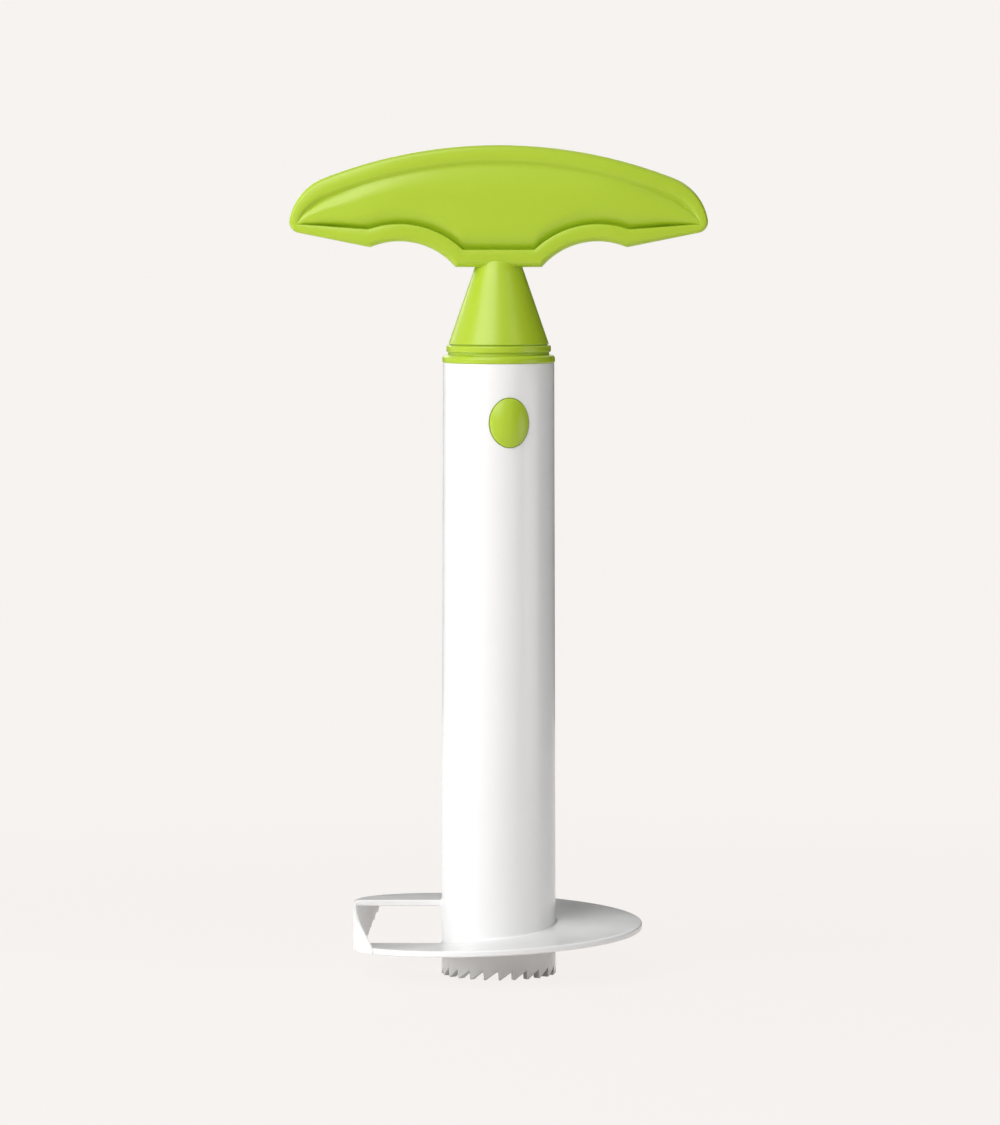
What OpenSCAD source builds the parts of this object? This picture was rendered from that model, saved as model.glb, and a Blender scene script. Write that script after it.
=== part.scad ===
// Pineapple corer: a hollow toothed shaft with a one-turn spiral blade, and a T handle that two
// sprung buttons hold in the top of the shaft. Z is up, the origin is on the shaft's axis at the
// level of the tooth tips, X runs along the grip and the front faces -Y.

/* [Shaft] */
// Height of the shaft from the tooth tips to its top rim
shaft_h = 181.1; // [150:0.1:220]
// Outer radius at the top rim
shaft_top_r = 16.4; // [14:0.1:20]
// Outer radius at the tooth tips
shaft_foot_r = 16.9; // [14:0.1:20]
// Wall thickness at the top rim
shaft_wall = 1.5; // [1.2:0.1:2.5]
// Step by which the socket for the handle is wider than the bore below it
socket_step = 0.3; // [0.2:0.05:0.6]
// Depth of the socket beyond the end of the handle's spigot
socket_spare = 1; // [0.5:0.1:3]

/* [Crown teeth] */
// Number of sawteeth around the lower rim
tooth_count = 24; // [12:1:36]
// Height of a sawtooth
tooth_h = 2.6; // [1:0.1:4]
// Width of the flat at a sawtooth's tip
tooth_flat = 0.6; // [0.3:0.1:1]

/* [Spiral blade] */
// Outer radius of the blade
blade_r = 42.5; // [36:0.1:50]
// Thickness of the blade
blade_t = 1.8; // [1.2:0.1:3]
// Rise of the blade over its one turn
blade_pitch = 12.8; // [10:0.1:16]
// Height of the blade's top face at its leading edge
blade_z = 9; // [6:0.1:20]
// Direction in which the blade starts and ends, turned from +X
blade_turn = 180; // [170:1:190]

/* [Outer knife] */
// Thickness of the knife that joins the blade's two ends at the rim
knife_wall = 1.2; // [0.8:0.1:2]
// How far the knife stands out of the blade's rim
knife_proud = 0.6; // [0.2:0.05:0.8]
// Angle from the blade's start to the foot of the knife's smooth trailing edge
knife_trail = 30; // [20:1:40]
// Angle from the blade's start to the foot of the knife's toothed leading edge
knife_lead = 18.3; // [10:0.1:25]
// Number of teeth up the leading edge
knife_teeth = 6; // [4:1:8]
// Angle by which each tooth of the leading edge reaches further than the one below it
knife_step = 3.15; // [2:0.05:4]
// Angle by which a tooth's own edge leans
knife_lean = 0.9; // [0.5:0.1:1.5]

/* [Neck] */
// Height of the neck from the shaft's rim to the grip
neck_h = 28.1; // [24:0.1:40]
// Outer radius of the neck at the grip
neck_top_r = 7; // [6:0.1:7.5]
// Outer radius of the neck above its collar
neck_foot_r = 14.8; // [14.6:0.1:15.2]
// Wall of the neck
neck_wall = 1.8; // [1.4:0.1:2.5]
// Solid height at the top of the neck, under the grip
neck_cap = 6; // [4:0.5:10]
// Depth to which the neck runs on into the grip
neck_root = 4; // [3:0.5:6]

/* [Collar] */
// How far the lower ring stands out of the shaft's rim
ring_over = 0.2; // [0:0.1:1]
// Height of the lower ring
ring_h = 2.3; // [2:0.1:3]
// Radius of the lower ring's upper edge
ring_round = 1.2; // [0.8:0.1:1.4]
// Width of the groove above the lower ring
gap_h = 0.8; // [0.4:0.1:1.2]
// Depth of that groove, measured from the upper ring
gap_deep = 0.5; // [0.3:0.1:0.8]
// Outer radius of the upper ring
bead_r = 15.4; // [15.3:0.1:16]
// Height of the upper ring
bead_h = 2; // [1.6:0.1:3]
// Radius of the upper ring's edges
bead_round = 0.4; // [0.3:0.1:0.6]
// Width and depth of the fine groove under the neck
fine_gap = 0.35; // [0.2:0.05:0.5]

/* [Spigot] */
// Length of the handle's spigot inside the shaft
spigot_len = 30; // [28:0.5:45]
// Wall of the spigot
spigot_wall = 1.6; // [1.2:0.1:2.2]
// Radial clearance between the spigot and its socket in the shaft
spigot_clear = 0.15; // [0.1:0.05:0.3]
// Chamfer at the spigot's mouth
spigot_chamfer = 0.6; // [0.3:0.1:1]

/* [Grip] */
// Height of the grip from its flat underside to its crown
grip_h = 35.8; // [32:0.1:45]
// Radius of the crown's long arc
crown_r = 141.5; // [120:0.5:180]
// Distance from the axis at which the crown turns down into a shoulder
shoulder_x = 51.5; // [48:0.1:56]
// Radius of the shoulder
shoulder_r = 16; // [14:0.1:18]
// Radius of the wing's tip
tip_r = 3.3; // [2.8:0.1:4]
// Upward slope of the wing's lower edge
wing_slope = 11.4; // [8:0.1:14]
// Distance from the axis to the cusp between finger groove and wing
cusp_x = 37.7; // [36:0.1:40]
// Radius of the finger groove
groove_r = 21.75; // [20:0.05:23]
// Distance from the axis to the middle of the finger groove
groove_x = 29.15; // [28:0.05:31]
// Depth of the finger groove above the flat underside
groove_h = 7.55; // [6:0.05:8.5]

/* [Grip section] */
// Thickness of the grip over its middle
grip_t = 12.8; // [12:0.1:16]
// Thickness of the grip at the tips of its wings
tip_t = 9; // [8:0.1:12]
// Width of the border around the grip's panel
border_w = 5; // [4:0.1:6]
// Part of that width which the border has along the crown
border_crown = 0.86; // [0.75:0.01:1]
// Part of that width which is left at the tips
border_taper = 0.48; // [0.4:0.01:0.6]
// Width of the rounding on the border's outer edge
edge_w = 1.8; // [1:0.1:2.4]
// Depth of that rounding, measured through the thickness
edge_round = 2.4; // [1.5:0.1:3.5]
// How far the border's inner edge lies under its crest
border_lip = 0.2; // [0.1:0.05:0.5]
// Radius of the border's inner edge in the corners at the tips
point_r = 0.3; // [0.2:0.05:0.8]
// How far the panel lies under the border
panel_sink = 1.5; // [0.8:0.1:2]
// Width of the slope from the upper border down to the panel
slope_w = 2.2; // [1:0.1:4]
// Width of that slope over the wings
wing_slope_w = 6; // [3:0.1:8]
// Width of the cove from the panel up to the lower border
cove_w = 4.8; // [3:0.1:6]

/* [Latch] */
// Angle by which the buttons are turned from the grip's front and back
latch_turn = 11.4; // [0:0.1:30]
// Distance from the shaft's rim down to the middle of the buttons
latch_drop = 17.2; // [15.5:0.1:20]
// Width of a button
button_w = 11.6; // [10:0.1:13]
// Height of a button
button_h = 14.4; // [12:0.1:15]
// How far a button stands out of the shaft
button_proud = 1.5; // [1:0.1:2]
// Clearance around a button in its windows
window_clear = 0.2; // [0.15:0.05:0.4]
// Thickness of the flange that keeps a button in
flange_t = 1.5; // [1:0.1:2]
// How far the flange reaches past the button on every side
flange_lip = 1.8; // [1.2:0.1:2.2]
// Clearance between the flange and the spigot's inner wall
flange_clear = 0.15; // [0.1:0.05:0.3]
// Radius of the stud that centres the spring
stud_r = 2.6; // [2:0.1:2.8]
// Length of that stud
stud_len = 3; // [2:0.1:4]

/* [Spring] */
// Diameter of the spring's wire
wire_d = 0.8; // [0.5:0.05:1]
// Clearance between the spring and its stud
spring_clear = 0.4; // [0.3:0.05:0.8]
// Working turns between the spring's two closed ends
spring_turns = 6; // [4:1:8]
// Gap at each end between the spring and its flange
seat_clear = 0.15; // [0.1:0.05:0.3]

/* [Hidden] */

$fn = 96;
cut = 1;
green = "#aacb2e";
white = "#f4f4f4";
steel = "#b4b6b8";

socket_r = shaft_top_r - shaft_wall;
bore_r = socket_r - socket_step;
spigot_r = socket_r - spigot_clear;
spigot_bore_r = spigot_r - spigot_wall;
latch_z = shaft_h - latch_drop;
grip_z = shaft_h + neck_h;

blade_steps = 72;
blade_inner_r = bore_r + shaft_wall / 2;
knife_columns = 6;
knife_notch = 0.05;
knife_bow = 1.4;

// Blade and knife

// Height of the blade's top face in the direction a, which runs on past a full turn
function blade_top(a) = blade_z + blade_pitch * (a - blade_turn) / 360;

// Faces of a grid of rings that closes around each ring and is capped at both ends
function ring_faces(rings, n) = concat(
    [for (i = [0 : rings - 2], j = [0 : n - 1])
        [i * n + j, i * n + (j + 1) % n, (i + 1) * n + (j + 1) % n, (i + 1) * n + j]],
    [[for (j = [n - 1 : -1 : 0]) j]],
    [[for (j = [0 : n - 1]) (rings - 1) * n + j]]);

// One turn of a flat blade: a four-cornered section carried round and up
module spiral_blade() {
    points = [for (i = [0 : blade_steps])
        let (a = blade_turn + 360 * i / blade_steps, z = blade_top(a))
        each [for (p = [[blade_inner_r, z], [blade_inner_r, z - blade_t], [blade_r, z - blade_t],
                        [blade_r, z]])
            [p[0] * cos(a), p[0] * sin(a), p[1]]]];
    polyhedron(points, ring_faces(blade_steps + 1, 4), convexity = 4);
}

// Rows of the knife as [share of the pitch, angle of the leading edge before the blade's start]
knife_rows = [for (i = [0 : knife_teeth - 1], end = [0, 1])
    [(i + end) / knife_teeth - (end == 1 && i < knife_teeth - 1 ? knife_notch / blade_pitch : 0),
     knife_lead + i * knife_step + end * knife_lean]];

// A band on the rim from the blade's start up to its end, with a toothed leading edge behind and
// an edge in front that runs back as it rises
module outer_knife() {
    outer = blade_r + knife_proud;
    inner = outer - knife_wall;
    columns = [for (k = [0 : knife_columns]) k / knife_columns];
    sides = concat([for (u = columns) [inner, u]],
                   [for (k = [knife_columns : -1 : 0]) [outer, columns[k]]]);
    points = [for (row = knife_rows)
        let (back = blade_turn - row[1],
             front = blade_turn + knife_trail * (1 - pow(row[0], knife_bow)))
        each [for (s = sides)
            let (a = back + s[1] * (front - back))
            [s[0] * cos(a), s[0] * sin(a),
             blade_top(a) - blade_t / 2 + row[0] * blade_pitch]]];
    polyhedron(points, ring_faces(len(knife_rows), len(sides)), convexity = 6);
}

// Shaft

// Ellipse with the given width and height, as an outline in the XY plane
module oval(w, h) {
    sides = 40;
    polygon([for (i = [0 : sides - 1]) [w / 2 * cos(360 * i / sides), h / 2 * sin(360 * i / sides)]]);
}

// Oval bar along +X from x0 to x1
module oval_bar(w, h, x0, x1) {
    translate([x0, 0, 0]) rotate([90, 0, 90]) linear_extrude(x1 - x0) oval(w, h);
}

// Turns its children so that their +X points along the latch, at the height of the buttons
module at_latch(side) {
    translate([0, 0, latch_z]) rotate([0, 0, latch_turn + (side == "front" ? -90 : 90)]) children();
}

// The two windows of the latch, as one bar right through
module windows(half_length) {
    at_latch("front")
        oval_bar(button_w + 2 * window_clear, button_h + 2 * window_clear, -half_length, half_length);
}

// The space between two sawteeth: steep at its far side, sloping on the near side
module tooth_gap() {
    pitch = 2 * PI * shaft_foot_r / tooth_count;
    rotate([90, 0, 90]) linear_extrude(shaft_foot_r + cut)
        polygon([[tooth_flat, -cut], [tooth_flat, 0], [pitch, tooth_h], [pitch, -cut]]);
}

module shaft() {
    color(white) difference() {
        union() {
            cylinder(h = shaft_h, r1 = shaft_foot_r, r2 = shaft_top_r);
            spiral_blade();
            outer_knife();
        }
        translate([0, 0, -cut]) cylinder(h = shaft_h + 2 * cut, r = bore_r);
        translate([0, 0, shaft_h - spigot_len - socket_spare])
            cylinder(h = spigot_len + socket_spare + cut, r = socket_r);
        windows(shaft_foot_r + button_proud + cut);
        for (i = [0 : tooth_count - 1]) rotate([0, 0, 360 * i / tooth_count]) tooth_gap();
    }
}

// Grip

groove_z = grip_z + groove_h - groove_r;
cusp_z = groove_z + sqrt(pow(groove_r, 2) - pow(cusp_x - groove_x, 2));
crown_z = grip_z + grip_h - crown_r;
along = [cos(wing_slope), sin(wing_slope)];
upward = [-sin(wing_slope), cos(wing_slope)];
crown_end = acos(shoulder_x / crown_r);
shoulder_at = [0, crown_z] + (crown_r - shoulder_r) * [cos(crown_end), sin(crown_end)];
shoulder_up = (shoulder_at - [cusp_x, cusp_z]) * upward;
tip_end = wing_slope - 90;

crown_steps = 12;
shoulder_steps = 4;
tip_steps = 2;
wing_steps = 6;
groove_steps = 8;
flat_steps = 2;
half_steps = crown_steps + shoulder_steps + tip_steps;

function smooth(t) = let (u = min(max(t, 0), 1)) u * u * (3 - 2 * u);
function turned(at, r, a) = [at[0] + r * cos(a), at[1] + r * sin(a)];

// Where the wing's lower edge and the groove meet when both are moved in by d
function cusp_in(d) =
    let (to_line = ([groove_x, groove_z] - [cusp_x, cusp_z]) * upward - d,
         r = groove_r + d)
    [groove_x, groove_z] - to_line * upward + sqrt(r * r - to_line * to_line) * along;

// Where the groove and the flat underside meet when both are moved in by d
function corner_in(d) =
    let (r = groove_r + d, up = grip_z + d - groove_z)
    [groove_x - sqrt(r * r - up * up), grip_z + d];

// Middle of an arc of radius r that joins the shoulder to the wing's lower edge, when both are
// moved in by w
function tip_in(w, r) = shoulder_at + (w + r - shoulder_up) * upward
    + sqrt(pow(shoulder_r - w - r, 2) - pow(shoulder_up - w - r, 2)) * along;

// Half of the grip's outline moved in by d, from the crown round the tip to the flat underside, as
// [x, z, share of the border's width]. The border narrows towards the tip, and its inner edges
// come together there in a point.
function half_outline(d) =
    let (thin = border_taper, w = d * thin, share = pow(d / border_w, 2),
         r = (tip_r - w) * (1 - share) + point_r * share,
         tip = tip_in(w, r), wing_start = turned(tip, r, tip_end),
         tip_start = atan2(tip[1] - shoulder_at[1], tip[0] - shoulder_at[0]),
         cusp = cusp_in(d), corner = corner_in(d),
         cusp_a = atan2(cusp[1] - groove_z, cusp[0] - groove_x),
         corner_a = atan2(corner[1] - groove_z, corner[0] - groove_x))
    concat(
        [for (i = [0 : crown_steps - 1])
            let (p = turned([0, crown_z], crown_r - d * border_crown, 90 + (crown_end - 90) * i / crown_steps))
            [p[0], p[1], border_crown]],
        [for (i = [0 : shoulder_steps - 1])
            let (t = i / shoulder_steps, f = border_crown - (border_crown - thin) * smooth(t),
                 p = turned(shoulder_at, shoulder_r - d * f, crown_end + (tip_start - crown_end) * t))
            [p[0], p[1], f]],
        [for (i = [0 : tip_steps - 1])
            let (p = turned(tip, r, tip_start * (1 - i / tip_steps))) [p[0], p[1], thin]],
        [for (i = [0 : tip_steps - 1])
            let (p = turned(tip, r, tip_end * i / tip_steps)) [p[0], p[1], thin]],
        [for (i = [0 : wing_steps - 1])
            let (t = i / wing_steps, p = wing_start + (cusp - wing_start) * t)
            [p[0], p[1], thin + (1 - thin) * t]],
        [for (i = [0 : groove_steps - 1])
            let (p = turned([groove_x, groove_z], groove_r + d,
                            cusp_a + (corner_a - cusp_a) * i / groove_steps))
            [p[0], p[1], 1]],
        [for (i = [0 : flat_steps]) [corner[0] * (1 - i / flat_steps), corner[1], 1]]);

// The whole outline moved in by d, closed by its mirror image
function outline(d) =
    let (half = half_outline(d))
    concat(half, [for (i = [len(half) - 2 : -1 : 1]) [-half[i][0], half[i][1], half[i][2]]]);

// Half the grip's thickness at x
thin_from = 30;
function half_t(x) =
    tip_t / 2 + (grip_t - tip_t) / 2 * (1 - smooth((abs(x) - thin_from) / (shoulder_x - thin_from + shoulder_r)));

// The border's section from its side wall to its inner edge, as [share of its width, drop from
// the grip's full thickness]
edge_share = edge_w / border_w;
crest = (1 + edge_share) / 2;
border = concat(
    [for (a = [0 : 22.5 : 90])
        [edge_share * (1 - cos(a)), edge_round * (1 - sin(a)) + border_lip / 2 * sin(a)]],
    [[crest, 0], [1, border_lip]]);

// Height of panel from which it sinks in fully
panel_full = 8;
wings_from = 40;
wings_full = 48;
slope_rows = [0.18, 0.35, 0.65, 1];
cove_rows = [1, 0.72, 0.45, 0.2];
wing_step = 0.35;

// The panel's section where it is h high, as [share of its height, share of its sink]. The upper
// slope is an S, which turns over the wings to a short S for half the sink and a ramp for the
// rest, and the cove is a parabola.
function panel(x, h) =
    let (wing = smooth((abs(x) - wings_from) / (wings_full - wings_from)),
         slope = min(0.5, (slope_w + (wing_slope_w - slope_w) * wing) / h),
         cove = min(0.4, cove_w / h))
    concat([for (u = slope_rows)
               [slope * u, (1 - wing) * smooth(u) + wing * (smooth(u / wing_step) + u) / 2]],
           [for (u = cove_rows) [1 - cove * u, 1 - pow(1 - u, 2)]]);

// One ring of the border, in front (side = -1) or behind (side = 1)
function border_ring(step, side) =
    [for (p = outline(border_w * step[0])) [p[0], side * (half_t(p[0]) - step[1] * p[2]), p[1]]];

// Column j of the panel between the upper and the lower border, from the border's inner ring r
function panel_column(r, j, side) =
    let (n = len(r), top = r[(n + j) % n], low = r[(n + 2 * half_steps - j) % n],
         h = top[2] - low[2], sink = panel_sink * min(1, h / panel_full))
    [for (s = panel(top[0], h))
        let (p = top + s[0] * (low - top)) [p[0], p[1] - side * sink * s[1], p[2]]];

module grip() {
    n = 4 * half_steps;
    depth = len(border);
    rows = len(slope_rows) + len(cove_rows);
    back = [for (k = [depth - 1 : -1 : 0]) border_ring(border[k], 1)];
    front = [for (k = [0 : depth - 1]) border_ring(border[k], -1)];
    rings = concat(back, front);
    columns = [for (j = [1 - half_steps : half_steps - 1]) j];
    front_base = len(rings) * n;
    back_base = front_base + len(columns) * rows;
    points = concat(
        [for (r = rings) each r],
        [for (j = columns) each panel_column(front[depth - 1], j, -1)],
        [for (j = columns) each panel_column(back[0], j, 1)]);
    // Index of row i in column j, where the first and last rows lie on the border's inner ring
    function at(ring_base, base, j, i) =
        i == 0 ? ring_base + (n + j) % n
        : i == rows + 1 ? ring_base + (n + 2 * half_steps - j) % n
        : base + (j + half_steps - 1) * rows + i - 1;
    // Cells between columns j and j + 1, with triangles where the columns run out at the tips
    function cells(ring_base, base, flip) = [
        for (j = [-half_steps : half_steps - 1], i = [0 : rows])
            let (left_tip = j == -half_steps, right_tip = j == half_steps - 1,
                 tip = ring_base + (left_tip ? n - half_steps : half_steps),
                 a = left_tip ? tip : at(ring_base, base, j, i),
                 b = left_tip ? tip : at(ring_base, base, j, i + 1),
                 c = right_tip ? tip : at(ring_base, base, j + 1, i + 1),
                 d = right_tip ? tip : at(ring_base, base, j + 1, i),
                 face = left_tip ? [a, c, d] : right_tip ? [a, b, tip] : [a, b, c, d])
            flip ? [for (k = [len(face) - 1 : -1 : 0]) face[k]] : face];
    sides = [for (i = [0 : len(rings) - 2], j = [0 : n - 1])
        [i * n + j, i * n + (j + 1) % n, (i + 1) * n + (j + 1) % n, (i + 1) * n + j]];
    polyhedron(points, concat(sides,
        cells((len(rings) - 1) * n, front_base, true),
        cells(0, back_base, false)), convexity = 6);
}

// Neck

// Points on an arc around [r, z] from angle a0 to a1
function arc(r, z, radius, a0, a1, n = 4) =
    [for (i = [0 : n]) [r + radius * cos(a0 + (a1 - a0) * i / n), z + radius * sin(a0 + (a1 - a0) * i / n)]];

ring_r = shaft_top_r + ring_over;
ring_foot = 0.4;
gap_top = ring_h + gap_h;
bead_top = gap_top + bead_h;
cone_foot = bead_top + fine_gap;
cone_rate = (neck_foot_r - neck_top_r) / (neck_h - cone_foot);
function cone_r(z) = neck_top_r + cone_rate * (neck_h - z);

// Neck, collar and spigot as one turned body, with z measured from the shaft's rim
module neck_body() {
    profile = concat(
        [[0, -spigot_len], [spigot_r - spigot_chamfer, -spigot_len],
         [spigot_r, -spigot_len + spigot_chamfer], [spigot_r, 0]],
        arc(ring_r - ring_foot, ring_foot, ring_foot, -90, 0, 2),
        arc(ring_r - ring_round, ring_h - ring_round, ring_round, 0, 90),
        [[bead_r - gap_deep, ring_h], [bead_r - gap_deep, gap_top]],
        arc(bead_r - bead_round, gap_top + bead_round, bead_round, -90, 0, 2),
        arc(bead_r - bead_round, bead_top - bead_round, bead_round, 0, 90, 2),
        [[neck_foot_r - fine_gap, bead_top], [neck_foot_r - fine_gap, cone_foot],
         [neck_foot_r, cone_foot],
         [cone_r(neck_h + neck_root), neck_h + neck_root], [0, neck_h + neck_root]]);
    translate([0, 0, shaft_h]) rotate_extrude() polygon(profile);
}

// The hollow inside spigot and neck
module neck_hollow() {
    top = neck_h - neck_cap;
    translate([0, 0, shaft_h]) rotate_extrude() polygon([
        [0, -spigot_len - cut], [spigot_bore_r, -spigot_len - cut], [spigot_bore_r, 0],
        [cone_r(cone_foot) - neck_wall, cone_foot], [cone_r(top) - neck_wall, top], [0, top]]);
}

module handle() {
    color(green) difference() {
        union() {
            grip();
            neck_body();
        }
        neck_hollow();
        windows(spigot_r + cut);
    }
}

// Buttons and spring

flange_r = spigot_bore_r - flange_clear;
flange_in = flange_r - flange_t;
dome_r = shaft_top_r + button_proud;

// An oval push button with a domed face, a curved flange inside the spigot and a spring stud
module button(side) {
    color(green) at_latch(side) {
        intersection() {
            oval_bar(button_w, button_h, flange_in, dome_r + cut);
            sphere(r = dome_r);
        }
        intersection() {
            difference() {
                cylinder(h = button_h + 2 * flange_lip, r = flange_r, center = true);
                cylinder(h = button_h + 2 * flange_lip + cut, r = flange_in, center = true);
            }
            translate([flange_r / 2, 0, 0])
                cube([flange_r, button_w + 2 * flange_lip, button_h + 2 * flange_lip], center = true);
        }
        translate([flange_in - stud_len, 0, 0]) rotate([0, 90, 0]) cylinder(h = stud_len + flange_t / 2, r = stud_r);
    }
}

module front_button() { button("front"); }
module rear_button() { button("rear"); }

// The coil ends short of the flange where the flange's curve comes nearest, at the coil's sides
coil_r = stud_r + spring_clear + wire_d / 2;
coil_half = sqrt(pow(flange_in, 2) - pow(coil_r + wire_d / 2, 2)) - seat_clear - wire_d / 2;
ring_per_turn = 16;
wire_sides = 6;
end_turns = 1;

// Place along the latch of the coil's centreline after t turns: it closes up to one wire's width a
// turn at both ends
function coil_x(t) =
    let (rest = t - end_turns, left = end_turns + spring_turns - t)
    rest < 0 ? -coil_half + wire_d * t
    : left < 0 ? coil_half - wire_d * (spring_turns + 2 * end_turns - t)
    : -coil_half + wire_d * end_turns + 2 * (coil_half - wire_d * end_turns) * rest / spring_turns;

// One helical wire between the two flanges
module latch_spring() {
    turns = spring_turns + 2 * end_turns;
    rings = turns * ring_per_turn;
    points = [for (i = [0 : rings])
        let (t = i / ring_per_turn, a = 360 * t)
        each [for (k = [0 : wire_sides - 1])
            let (b = 360 * k / wire_sides, r = coil_r + wire_d / 2 * cos(b))
            [coil_x(t) + wire_d / 2 * sin(b), r * cos(a), r * sin(a)]]];
    color(steel) at_latch("front") polyhedron(points, ring_faces(rings + 1, wire_sides), convexity = 8);
}

shaft();
handle();
front_button();
rear_button();
latch_spring();
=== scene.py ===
"""Pineapple corer: a hollow toothed shaft with a one-turn spiral blade, and a T handle that two
sprung push buttons hold in the top of the shaft.

Z is up, the origin is on the shaft's axis at the level of the tooth tips, X runs along the grip and
the front faces -Y. Lengths are in metres.
"""

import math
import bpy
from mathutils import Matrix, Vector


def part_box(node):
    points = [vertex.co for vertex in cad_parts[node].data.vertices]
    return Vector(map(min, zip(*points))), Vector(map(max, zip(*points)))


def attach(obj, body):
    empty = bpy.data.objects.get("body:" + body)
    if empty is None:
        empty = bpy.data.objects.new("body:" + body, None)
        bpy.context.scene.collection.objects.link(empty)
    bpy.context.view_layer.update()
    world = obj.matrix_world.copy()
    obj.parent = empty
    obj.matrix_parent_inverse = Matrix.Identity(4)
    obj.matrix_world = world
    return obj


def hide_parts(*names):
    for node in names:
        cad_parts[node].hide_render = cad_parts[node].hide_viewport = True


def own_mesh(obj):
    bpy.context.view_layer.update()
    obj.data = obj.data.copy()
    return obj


bl_info = {
    "name": "Pineapple corer",
    "version": (1, 0, 0),
    "blender": (4, 5, 0),
    "location": "3D View > Sidebar > Corer",
    "description": "Builds a pineapple corer as surfaces around its packed frame",
    "category": "Add Mesh",
}

import bmesh
import bpy
import numpy as np
from bpy.props import FloatProperty, FloatVectorProperty, IntProperty, PointerProperty
from bpy.types import Operator, Panel, PropertyGroup
from mathutils import Vector

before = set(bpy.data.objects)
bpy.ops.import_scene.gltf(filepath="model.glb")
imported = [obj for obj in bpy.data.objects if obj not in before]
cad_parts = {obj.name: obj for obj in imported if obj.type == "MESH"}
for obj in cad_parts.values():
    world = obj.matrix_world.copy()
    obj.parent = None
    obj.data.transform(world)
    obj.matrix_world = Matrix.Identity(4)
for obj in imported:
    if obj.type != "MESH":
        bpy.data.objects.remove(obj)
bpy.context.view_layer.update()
SHAFT_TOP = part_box("shaft")[1].z
GRIP_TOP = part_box("handle")[1].z

MM = 0.001
# Points closer than this are one point
WELD = 0.001 * MM
# Faces that meet at more than this angle keep a crisp edge between them
CRISP = math.radians(32)
# Columns of the shaft's and the spigot's walls for each sawtooth of the crown
PER_TOOTH = 6
# Rows of the wall around a window, from its middle
WINDOW_ROWS = np.linspace(-10, 10, 25) * MM
# Points round a button
OVAL = 96
# Points round the spring's wire, and along each of its turns
WIRE, COIL = 12, 32
# Height that the lamps face
LAMP_AIM = 130 * MM


# Properties


def mm(name, description, millimetres):
    """A length, written here in millimetres and kept in metres."""
    return FloatProperty(name=name, description=description, default=millimetres * MM,
                         min=0.0, precision=5, unit="LENGTH")


def turn(name, description, degrees):
    """An angle, written here in degrees."""
    return FloatProperty(name=name, description=description, default=math.radians(degrees),
                         subtype="ANGLE")


def count(name, description, number):
    """A whole number of like features."""
    return IntProperty(name=name, description=description, default=number, min=1)


def share(name, description, part):
    """A part of a whole, from 0 to 1."""
    return FloatProperty(name=name, description=description, default=part, min=0.0, max=1.0,
                         subtype="FACTOR")


def linear(code):
    """Linear RGBA of an sRGB hex colour: the lower part of each channel is divided by 12.92, the
    rest is raised to 2.4 after a shift of 0.055."""
    value = np.array([int(code[i:i + 2], 16) for i in (1, 3, 5)]) / 255
    channels = np.where(value <= 0.04045, value / 12.92, ((value + 0.055) / 1.055) ** 2.4)
    return (*channels.tolist(), 1.0)


def colour(name, description, code):
    """A colour, written here as an sRGB hex value."""
    return FloatVectorProperty(name=name, description=description, subtype="COLOR", size=4,
                               min=0.0, max=1.0, default=linear(code))


class CorerShaftSizes(PropertyGroup):
    height: mm("Height", "From the tooth tips to the top rim", SHAFT_TOP / MM)
    top_r: mm("Top radius", "Outer radius at the top rim", 16.4)
    foot_r: mm("Foot radius", "Outer radius at the tooth tips", 16.9)
    bore_r: mm("Bore radius", "Where the core of the fruit goes", 14.6)
    socket_r: mm("Socket radius", "Around the handle's spigot", 14.9)
    socket_depth: mm("Socket depth", "From the top rim down", 31)
    edge: mm("Edge rounding", "Of the rims and windows", 0.25)
    teeth: count("Teeth", "Sawteeth around the lower rim", 24)
    tooth_h: mm("Tooth height", "From root to tip", 2.6)
    tooth_flat: mm("Tooth flat", "Width at a sawtooth's tip", 0.6)


class CorerBladeSizes(PropertyGroup):
    radius: mm("Radius", "Outer radius of the spiral", 42.5)
    thickness: mm("Thickness", "From face to face", 1.8)
    pitch: mm("Pitch", "Rise over the one turn", 12.8)
    level: mm("Level", "Height of the top face at the leading edge", 9)
    start: turn("Start", "Where the blade starts and ends", 180)
    rim: mm("Rim rounding", "Of the outer rim", 0.45)
    fillet: mm("Root fillet", "Between blade and shaft", 0.7)
    bevel: mm("Bevel", "Width under the leading edge", 3)
    knife_wall: mm("Knife wall", "Thickness of the outer knife", 1.2)
    knife_proud: mm("Knife overhang", "How far it stands out of the rim", 0.6)
    knife_trail: turn("Knife trail", "From the start to the foot of the smooth edge", 30)
    knife_lead: turn("Knife lead", "From the start to the foot of the toothed edge", 22)
    knife_teeth: count("Knife teeth", "Teeth up the leading edge", 6)
    knife_step: turn("Knife step", "How much further each tooth reaches", 2.6)
    knife_lean: turn("Knife lean", "How far a tooth's own edge leans", 0.9)
    knife_bow: FloatProperty(name="Knife bow", description="Curve of the smooth edge",
                             default=1.4, min=1.0)
    knife_round: mm("Knife rounding", "Of its top outer edge", 1.1)


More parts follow.
